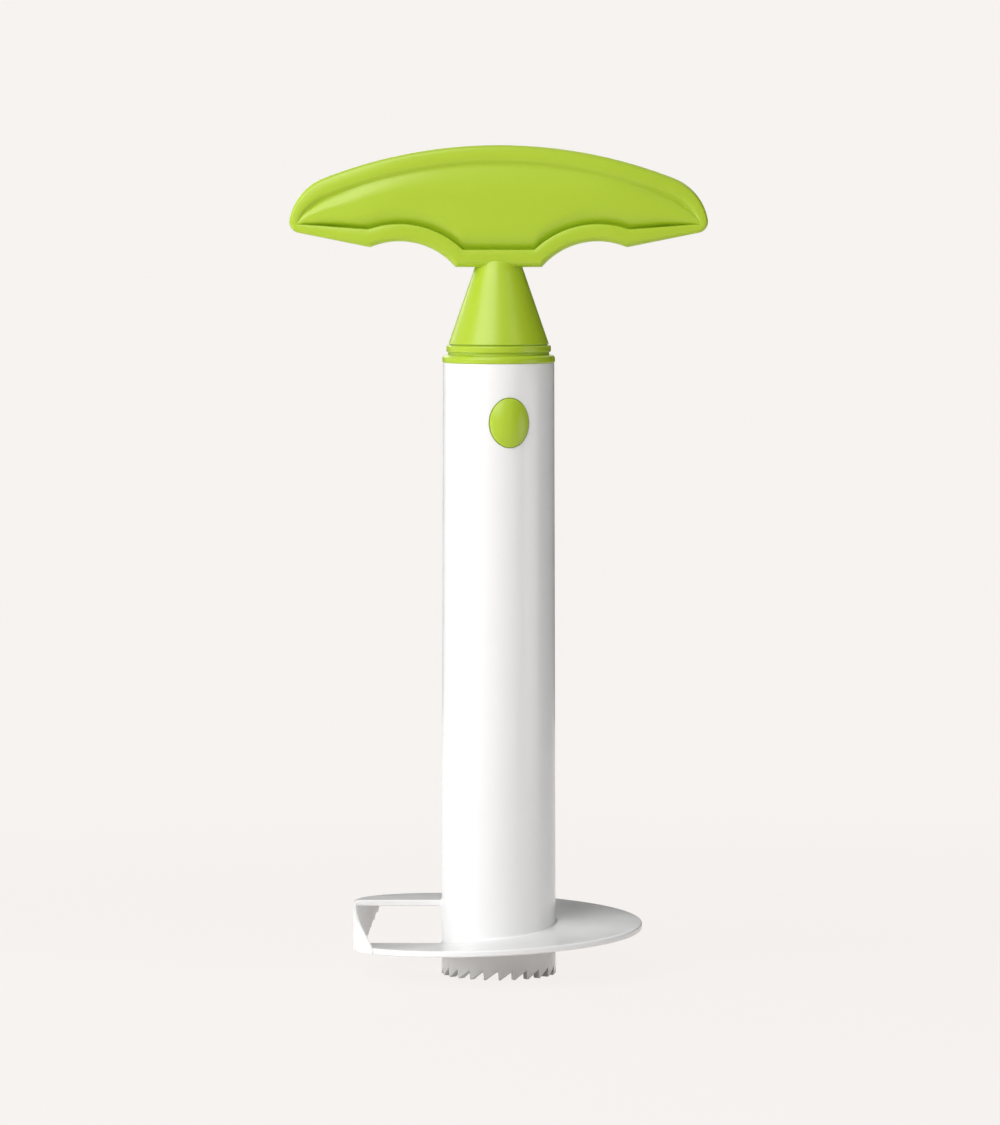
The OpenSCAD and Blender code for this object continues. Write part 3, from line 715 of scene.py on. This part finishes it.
def grip(g, floor, crown):
    """The grip as one skin. The border is the outline moved in step by step, while its face falls
    from the full thickness as a quarter ellipse at the outer edge and as a shallow parabola on
    both sides of its crest. The panel is a cushion that spans the border from top to bottom. At
    the share p of the way down, its sink is dip (1 - p / crest) squared above its crest, plus
    (1 - roll) p to the power of 4, plus roll q to the power of 2.5, where q goes from 0 to 1 over
    the roll at its foot. It starts with a smooth slope from the upper border and ends in a smooth
    step up to the lower one."""
    line = GripOutline(g, floor, crown)
    outer = np.radians(np.linspace(0, 90, 13))
    edge = g.edge_w / g.border_w
    face = np.linspace(-1, 1, 12)[1:]
    crest = (1 + edge) / 2
    inset = np.concatenate([edge * (1 - np.cos(outer)), crest + (1 - crest) * face])
    hump = g.border_lip * np.array([0.5, 1.0])
    drop = np.concatenate([g.edge_round * (1 - np.sin(outer)) + hump[0] * np.sin(outer),
                           np.where(face < 0, hump[0], hump[1]) * face ** 2])
    x, z, f = line.whole(g.border_w * inset)
    depth = line.half_thickness(x) - drop[:, None] * f
    order = slice(None, None, -1)
    # Rows run from the front's inner edge out to the side wall and on to the back's inner edge
    ring = patch(np.concatenate([x[order], x]), np.concatenate([-depth[order], depth]),
                 np.concatenate([z[order], z]), ring=True)

    n, side = x.shape[1], sum(line.steps[:3])
    column = np.arange(-side, side + 1)
    top, low = column % n, (2 * side - column) % n
    px, pz, py = x[-1], z[-1], depth[-1]
    tall = np.maximum(pz[top] - pz[low], WELD)
    wing = ease((np.abs(px[top]) - g.wings_from) / (g.wings_full - g.wings_from))
    slope, step = np.minimum(0.2, g.slope_w / tall), np.minimum(0.1, g.step_w / tall)
    roll = np.minimum(0.4, g.roll_w / tall)
    u, v, k = (np.linspace(0, 1, n)[:, None] for n in (9, 14, 6))
    middle = np.linspace(0, 1, 20)[1:-1, None]
    s = np.concatenate([slope * u, slope + (1 - step - roll - slope) * middle,
                        1 - step - roll * (1 - v), 1 - step * (1 - k[1:])])
    p = np.clip((s - slope) / (1 - step - slope), 0, 1)
    q = np.clip((s - (1 - step - roll)) / roll, 0, 1)
    dip = g.dip + (g.wing_dip - g.dip) * wing
    sink = (dip * np.clip(1 - p / g.panel_crest, 0, 1) ** 2 + (1 - g.roll) * p ** 4
            + g.roll * q ** 2.5) * ease(s / slope) * ease((1 - s) / step)
    gx, gz, gy = (p[top] + s * (p[low] - p[top]) for p in (px, pz, py))
    gy = gy - g.panel_sink * sink * np.minimum(1, tall / g.panel_full)
    return shell("grip", [ring, patch(gx, -gy, gz, flip=True), patch(gx, gy, gz)])


class CORER_OT_handle(Operator):
    """Makes the green handle: grip, neck, collar and spigot"""

    bl_idname = "corer.make_handle"
    bl_label = "Make handle"

    def execute(self, context):
        scene = context.scene
        h, s = scene.corer_handle, scene.corer_shaft
        body = grip(scene.corer_grip, s.height + h.neck_h, GRIP_TOP)
        shape = unite(body, neck(h, s, scene.corer_latch))
        shape.name = "green_handle"
        dress(shape, green_pp(scene.corer_finishes), "handle", "green_plastic", "handle")
        return {"FINISHED"}


# Buttons and spring


def oval_plug(a, b, scales, insides):
    """A closed plug along X with an oval section: ring k is the oval (a cos p, b sin p) times
    scales[k], and lies at the depth that insides[k] gives for it."""
    p = 2 * math.pi * np.arange(OVAL) / OVAL
    y = np.array(scales)[:, None] * a * np.cos(p)
    z = np.array(scales)[:, None] * b * np.sin(p)
    x = np.stack([depth(y[k], z[k]) for k, depth in enumerate(insides)])
    return patch(x, y, z, ring=True)


def button_cap(s, latch):
    """The pushed face and the bar behind it. Over the share q of the way to its edge the face
    falls from its crown to its brim as 1 - q squared to the power of 0.8, on top of the curve of
    the tube."""
    a, b = latch.width / 2, latch.height / 2
    tube = s.foot_r + (s.top_r - s.foot_r) * latch_place(s, latch)[1] / s.height
    soft = 0.35 * MM
    q = np.sin(np.radians(np.linspace(0, 90, 26))) * (1 - soft / a)
    edge = np.radians(np.linspace(0, 90, 7))[1:]

    def face(out, below=0.0):
        fall = latch.brim + (latch.proud - latch.brim) * (1 - out ** 2) ** 0.8
        return lambda y, z: np.sqrt(tube ** 2 - y ** 2) + fall - below

    scales = list(q) + [1 - soft / a * (1 - math.sin(t)) for t in edge]
    depths = [face(v) for v in q] + [face(q[-1], soft * (1 - math.cos(t))) for t in edge]
    back = latch.flange_r - latch.flange_t / 2
    depths += [lambda y, z: back + 0 * y] * 2
    return oval_plug(a, b, scales + [1, 0], depths)


def button_flange(latch):
    """A curved plate inside the spigot: a rounded rectangle seen straight on, between two
    cylinders around the shaft's axis."""
    half_w, half_h = latch.width / 2 + latch.flange_lip, latch.height / 2 + latch.flange_lip
    p = 2 * math.pi * (np.arange(OVAL) + 0.5) / OVAL
    power = 2 / 7
    y = half_w * np.sign(np.cos(p)) * np.abs(np.cos(p)) ** power
    z = half_h * np.sign(np.sin(p)) * np.abs(np.sin(p)) ** power
    outside, inside = latch.flange_r, latch.flange_r - latch.flange_t
    soft = 0.2 * MM
    edge = 1 - soft / half_w
    spreads = (0, 0.25, 0.5, 0.75, edge)
    rings = [*((v, outside) for v in spreads), (1, outside - soft), (1, inside + soft),
             *((v, inside) for v in spreads[::-1])]
    scale, radius = (np.array(v)[:, None] for v in zip(*rings))
    y, z = scale * y, scale * z
    return patch(np.sqrt(radius ** 2 - y ** 2), y, z, ring=True)


def button_stud(latch):
    """The stud that centres the spring, with a chamfered end."""
    inside, r, c = latch.flange_r - latch.flange_t, latch.stud_r, 0.4 * MM
    end, root = inside - latch.stud_length, inside + latch.flange_t / 2
    profile = np.array([[root, 0], [root, r], [end + c, r], [end, r - c], [end, 0]])
    p = 2 * math.pi * np.arange(48) / 48
    x, d = profile[:, :1], profile[:, 1:]
    return patch(x, d * np.cos(p), d * np.sin(p), ring=True)


def at_latch(parts, sizes, latch, rear=False):
    """Turns points so that X points along the latch to the front or the rear, and lifts them."""
    direction, level = latch_place(sizes, latch)
    direction += math.pi * rear
    c, s = math.cos(direction), math.sin(direction)
    turning = np.array([[c, s, 0], [-s, c, 0], [0, 0, 1]])
    return [(points @ turning + [0, 0, level], quads) for points, quads in parts]


class CORER_OT_buttons(Operator):
    """Makes the two green push buttons"""

    bl_idname = "corer.make_buttons"
    bl_label = "Make buttons"

    def execute(self, context):
        s, latch = context.scene.corer_shaft, context.scene.corer_latch
        material = green_pp(context.scene.corer_finishes)
        grids = button_cap(s, latch), button_flange(latch), button_stud(latch)
        for rear, name in enumerate(("front_button", "rear_button")):
            shape = unite(*(shell(name, at_latch([grid], s, latch, rear)) for grid in grids))
            shape.name = "green_" + name
            dress(shape, material, name, "green_plastic", name)
        return {"FINISHED"}


def half_coil(latch, front):
    """One half of the spring's wire. After t turns the centreline lies at the coil's radius in
    the direction 2 pi t, and the wire is a circle around it. Each end turn lies closed on the
    next, and the working turns share the rest of the length evenly."""
    turns = latch.coil_turns + 2
    t = np.linspace(turns / 2, turns, COIL * turns // 2 + 1)[:, None]
    if not front:
        t = turns - t
    d, half, r = latch.wire_d, latch.coil_half, latch.coil_r
    open_part = -half + d + 2 * (half - d) * (t - 1) / latch.coil_turns
    centre = np.where(t < 1, -half + d * t,
                      np.where(t > turns - 1, half - d * (turns - t), open_part))
    a = 2 * math.pi * t
    b = 2 * math.pi * np.arange(WIRE)[None] / WIRE
    swing = r + d / 2 * np.cos(b)
    x, y, z = centre + d / 2 * np.sin(b), swing * np.cos(a), swing * np.sin(a)
    skin = patch(x, y, z, ring=True, flip=not front)
    caps = []
    for row, flip in ((0, front), (-1, not front)):
        middle = (centre[row, 0], r * math.cos(a[row, 0]), r * math.sin(a[row, 0]))
        ring_points = [np.stack([g[row], np.full(WIRE, m)]) for g, m in zip((x, y, z), middle)]
        caps.append(patch(*ring_points, ring=True, flip=flip))
    return [skin, *caps]


class CORER_OT_spring(Operator):
    """Makes the coil spring between the buttons, as one half for each button"""

    bl_idname = "corer.make_spring"
    bl_label = "Make spring"

    def execute(self, context):
        s, latch = context.scene.corer_shaft, context.scene.corer_latch
        material = spring_steel(context.scene.corer_finishes)
        for front, name in ((True, "front"), (False, "rear")):
            shape = shell(name + "_coil", at_latch(half_coil(latch, front), s, latch))
            dress(shape, material, "handle", "spring_steel", *(["latch_spring"] if front else []))
            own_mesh(shape)
        return {"FINISHED"}


# Materials


def node(tree, kind, inputs=(), **settings):
    """Adds a node with its settings, and sets or links its inputs."""
    new = tree.nodes.new("ShaderNode" + kind)
    for key, value in settings.items():
        setattr(new, key, value)
    for socket, value in dict(inputs).items():
        if isinstance(value, bpy.types.NodeSocket):
            tree.links.new(value, new.inputs[socket])
        else:
            new.inputs[socket].default_value = value
    return new


def blank(name):
    """A material with no nodes, or the one that an earlier piece already uses."""
    known = bpy.data.materials.get(name)
    if known:
        return known, None
    material = bpy.data.materials.new(name)
    material.use_nodes = True
    material.node_tree.nodes.clear()
    return material, material.node_tree


def moulded(name, base, rough, scatter, radius):
    """Injection moulded plastic: long shallow sink waves some 9 mm apart, a fine orange peel of
    1 mm that is drawn coarser than the real one so that it shows, and a patchy gloss."""
    material, tree = blank(name)
    if not tree:
        return material
    place = node(tree, "TexCoord").outputs["Object"]
    sink = node(tree, "TexNoise", {"Vector": place, "Scale": 110.0, "Detail": 1.0})
    peel = node(tree, "TexNoise", {"Vector": place, "Scale": 900.0, "Detail": 1.0})
    gloss = node(tree, "MapRange", {
        "Value": node(tree, "TexNoise", {"Vector": place, "Scale": 60.0, "Detail": 4.0}).outputs[0],
        "From Min": 0.3, "From Max": 0.7, "To Min": rough - 0.03, "To Max": rough + 0.03})
    waves = node(tree, "Bump", {"Height": sink.outputs[0], "Distance": 0.00012, "Strength": 0.25})
    skin = node(tree, "Bump", {"Height": peel.outputs[0], "Distance": 0.00001, "Strength": 0.1,
                               "Normal": waves.outputs[0]})
    shader = node(tree, "BsdfPrincipled", {
        "Base Color": base[:], "Roughness": gloss.outputs[0], "Normal": skin.outputs[0],
        "IOR": 1.5, "Subsurface Weight": scatter, "Subsurface Radius": radius,
        "Subsurface Scale": 1 * MM})
    node(tree, "OutputMaterial", {"Surface": shader.outputs[0]})
    return material


def white_abs(finishes):
    """White ABS, injection moulded and glossy: bright and cool, with soft wide reflections."""
    return moulded("White ABS, moulded", finishes.white, 0.24, 0.06, (1.0, 1.0, 1.0))


def green_pp(finishes):
    """Lime green polypropylene, injection moulded: saturated, with a waxy soft gloss."""
    return moulded("Lime green polypropylene, moulded", finishes.green, 0.32, 0.05, (0.8, 1.0, 0.2))


def spring_steel(finishes):
    """Spring steel, cold drawn: bright, with fine dull patches from drawing and coiling."""
    material, tree = blank("Spring steel, drawn")
    if tree:
        place = node(tree, "TexCoord").outputs["Object"]
        scuff = node(tree, "TexNoise", {"Vector": place, "Scale": 2500.0, "Detail": 3.0})
        gloss = node(tree, "MapRange", {"Value": scuff.outputs[0], "To Min": 0.2, "To Max": 0.45})
        shader = node(tree, "BsdfPrincipled", {
            "Base Color": finishes.steel[:], "Metallic": 1.0,
            "Roughness": gloss.outputs[0]})
        node(tree, "OutputMaterial", {"Surface": shader.outputs[0]})
    return material


def seen(tree):
    """1 for rays from the camera and for mirrored and refracted ones, 0 for the rays that light
    the object."""
    rays = node(tree, "LightPath")
    either = node(tree, "Math", {0: rays.outputs["Is Camera Ray"],
                                 1: rays.outputs["Is Glossy Ray"]}, operation="MAXIMUM")
    return node(tree, "Math", {0: either.outputs[0], 1: rays.outputs["Is Transmission Ray"]},
                operation="MAXIMUM").outputs[0]


def pale_paper(tone):
    """Matt white backdrop paper: it shows as the plain backdrop colour. Near the object part of it
    stays a lit surface, so that the object's shadow lies on it."""
    material, tree = blank("Backdrop paper, matt")
    if tree:
        lit = node(tree, "BsdfDiffuse", {"Color": tone})
        plain = node(tree, "Emission", {"Color": tone, "Strength": 1.0})
        away = node(tree, "VectorMath", {0: node(tree, "TexCoord").outputs["Object"]},
                    operation="LENGTH")
        paint = node(tree, "MapRange", {"Value": away.outputs["Value"], "From Min": 0.1,
                                        "From Max": 0.6, "To Min": 0.94, "To Max": 1.0},
                     interpolation_type="SMOOTHSTEP")
        part = node(tree, "Math", {0: seen(tree), 1: paint.outputs[0]}, operation="MULTIPLY")
        mix = node(tree, "MixShader", {0: part.outputs[0], 1: lit.outputs[0],
                                       2: plain.outputs[0]})
        node(tree, "OutputMaterial", {"Surface": mix.outputs[0]})
    return material


def black_felt():
    """Black wool felt, which takes up the light that falls on it."""
    material, tree = blank("Black felt")
    if tree:
        shader = node(tree, "BsdfDiffuse", {"Color": linear("#101010")})
        node(tree, "OutputMaterial", {"Surface": shader.outputs[0]})
    return material


# Stage


def lamp(name, azimuth, height, distance, width, tall, power):
    """A softbox that faces the middle of the object. Azimuth is in degrees from the front,
    positive to the right."""
    light = bpy.data.lights.new(name, "AREA")
    light.shape, light.size, light.size_y = "RECTANGLE", width, tall
    light.energy = power
    box = bpy.data.objects.new(name, light)
    a = math.radians(azimuth)
    box.location = (distance * math.sin(a), -distance * math.cos(a), height)
    aim = Vector((0, 0, LAMP_AIM)) - box.location
    box.rotation_euler = aim.to_track_quat("-Z", "Y").to_euler()
    box.visible_camera = False
    bpy.context.scene.collection.objects.link(box)


def black_card(name, start, end, low, high):
    """An upright card of black felt, from one point of the floor plan to another. It shows only in
    the object's gloss, and darkens it on that side."""
    (x0, y0), (x1, y1) = start, end
    u, v = np.meshgrid(*[np.linspace(0, 1, 3)] * 2)
    card = shell(name, [patch(x0 + (x1 - x0) * u, y0 + (y1 - y0) * u, low + (high - low) * v)])
    card.data.materials.append(black_felt())
    card.visible_camera = card.visible_diffuse = card.visible_shadow = False


class CORER_OT_stage(Operator):
    """Makes the floor, the soft lights and the camera"""

    bl_idname = "corer.make_stage"
    bl_label = "Make stage"

    def execute(self, context):
        scene, sizes = context.scene, context.scene.corer_stage
        tone = scene.corer_finishes.backdrop[:]
        a = np.radians(np.linspace(0, 360, 96, endpoint=False))
        curve = bend(sizes.floor_r, sizes.floor_curve, sizes.floor_curve, -90, 0, 16)
        profile = np.concatenate([[[0, 0], [0.3, 0], [1.2, 0]], curve])
        floor = shell("floor", [turned(profile[:, 0], profile[:, 1], a, ring=True)])
        floor.data.flip_normals()
        floor.data.shade_smooth()
        floor.data.materials.append(pale_paper(tone))

        world = bpy.data.worlds.new("Pale surroundings")
        scene.world = world
        world.use_nodes = True
        tree = world.node_tree
        tree.nodes.clear()
        plain = node(tree, "Background", {"Color": tone, "Strength": 1.0})
        fill = node(tree, "Background", {"Color": (1.0, 1.0, 1.0, 1.0), "Strength": 0.15})
        mix = node(tree, "MixShader", {0: seen(tree), 1: fill.outputs[0], 2: plain.outputs[0]})
        node(tree, "OutputWorld", {"Surface": mix.outputs[0]})

        lamp("Key softbox", -37, 0.6, 0.8, 0.85, 0.55, 5.9)
        lamp("Top softbox", -45, 0.95, 0.4, 0.5, 0.4, 2.3)
        lamp("Left strip", -72, 0.05, 0.35, 0.2, 0.08, 0.4)
        lamp("Right strip", 70, 0.1, 0.55, 0.32, 0.2, 0.41)
        lamp("Right softbox", 49, 0.7, 0.7, 0.4, 0.15, 0.3)
        lamp("Back softbox", -165, 0.38, 1.1, 1.0, 0.5, 4.2)
        black_card("side_flag", (0.6, -0.9), (0.6, 1.2), 0, 0.7)
        black_card("rear_flag", (-0.8, 0.8), (0.8, 0.8), -0.05, 0.35)

        camera = bpy.data.objects.new("Camera", bpy.data.cameras.new("Camera"))
        camera.data.lens, camera.data.sensor_width = sizes.lens, 36
        camera.location = (sizes.aim_side, -sizes.camera_back, sizes.camera_up)
        aim = Vector((sizes.aim_side, 0, sizes.aim_up)) - camera.location
        camera.rotation_euler = aim.to_track_quat("-Z", "Y").to_euler()
        scene.collection.objects.link(camera)
        scene.camera = camera
        scene.view_settings.view_transform = "Standard"
        return {"FINISHED"}


class CORER_PT_parts(Panel):
    """Lists the pieces and their sizes"""

    bl_idname = "CORER_PT_parts"
    bl_label = "Pineapple corer"
    bl_space_type = "VIEW_3D"
    bl_region_type = "UI"
    bl_category = "Corer"

    def draw(self, context):
        for operator in OPERATORS:
            self.layout.operator(operator.bl_idname)
        for name in GROUPS:
            group = getattr(context.scene, name)
            column = self.layout.column(heading=name.split("_")[1].capitalize())
            for key in group.__annotations__:
                column.prop(group, key)


GROUPS = {"corer_shaft": CorerShaftSizes, "corer_blade": CorerBladeSizes,
          "corer_handle": CorerHandleSizes, "corer_grip": CorerGripSizes,
          "corer_latch": CorerLatchSizes, "corer_finishes": CorerFinishes,
          "corer_stage": CorerStageSizes}
OPERATORS = (CORER_OT_stage, CORER_OT_shaft, CORER_OT_handle, CORER_OT_buttons, CORER_OT_spring)


def register():
    for group in GROUPS.values():
        bpy.utils.register_class(group)
    for name, group in GROUPS.items():
        setattr(bpy.types.Scene, name, PointerProperty(type=group))
    for item in (*OPERATORS, CORER_PT_parts):
        bpy.utils.register_class(item)


def unregister():
    for item in (CORER_PT_parts, *OPERATORS[::-1]):
        bpy.utils.unregister_class(item)
    for name, group in GROUPS.items():
        delattr(bpy.types.Scene, name)
        bpy.utils.unregister_class(group)


def main():
    register()
    bpy.ops.corer.make_stage()
    bpy.ops.corer.make_shaft()
    bpy.ops.corer.make_handle()
    bpy.ops.corer.make_buttons()
    bpy.ops.corer.make_spring()


if __name__ == "__main__":
    main()
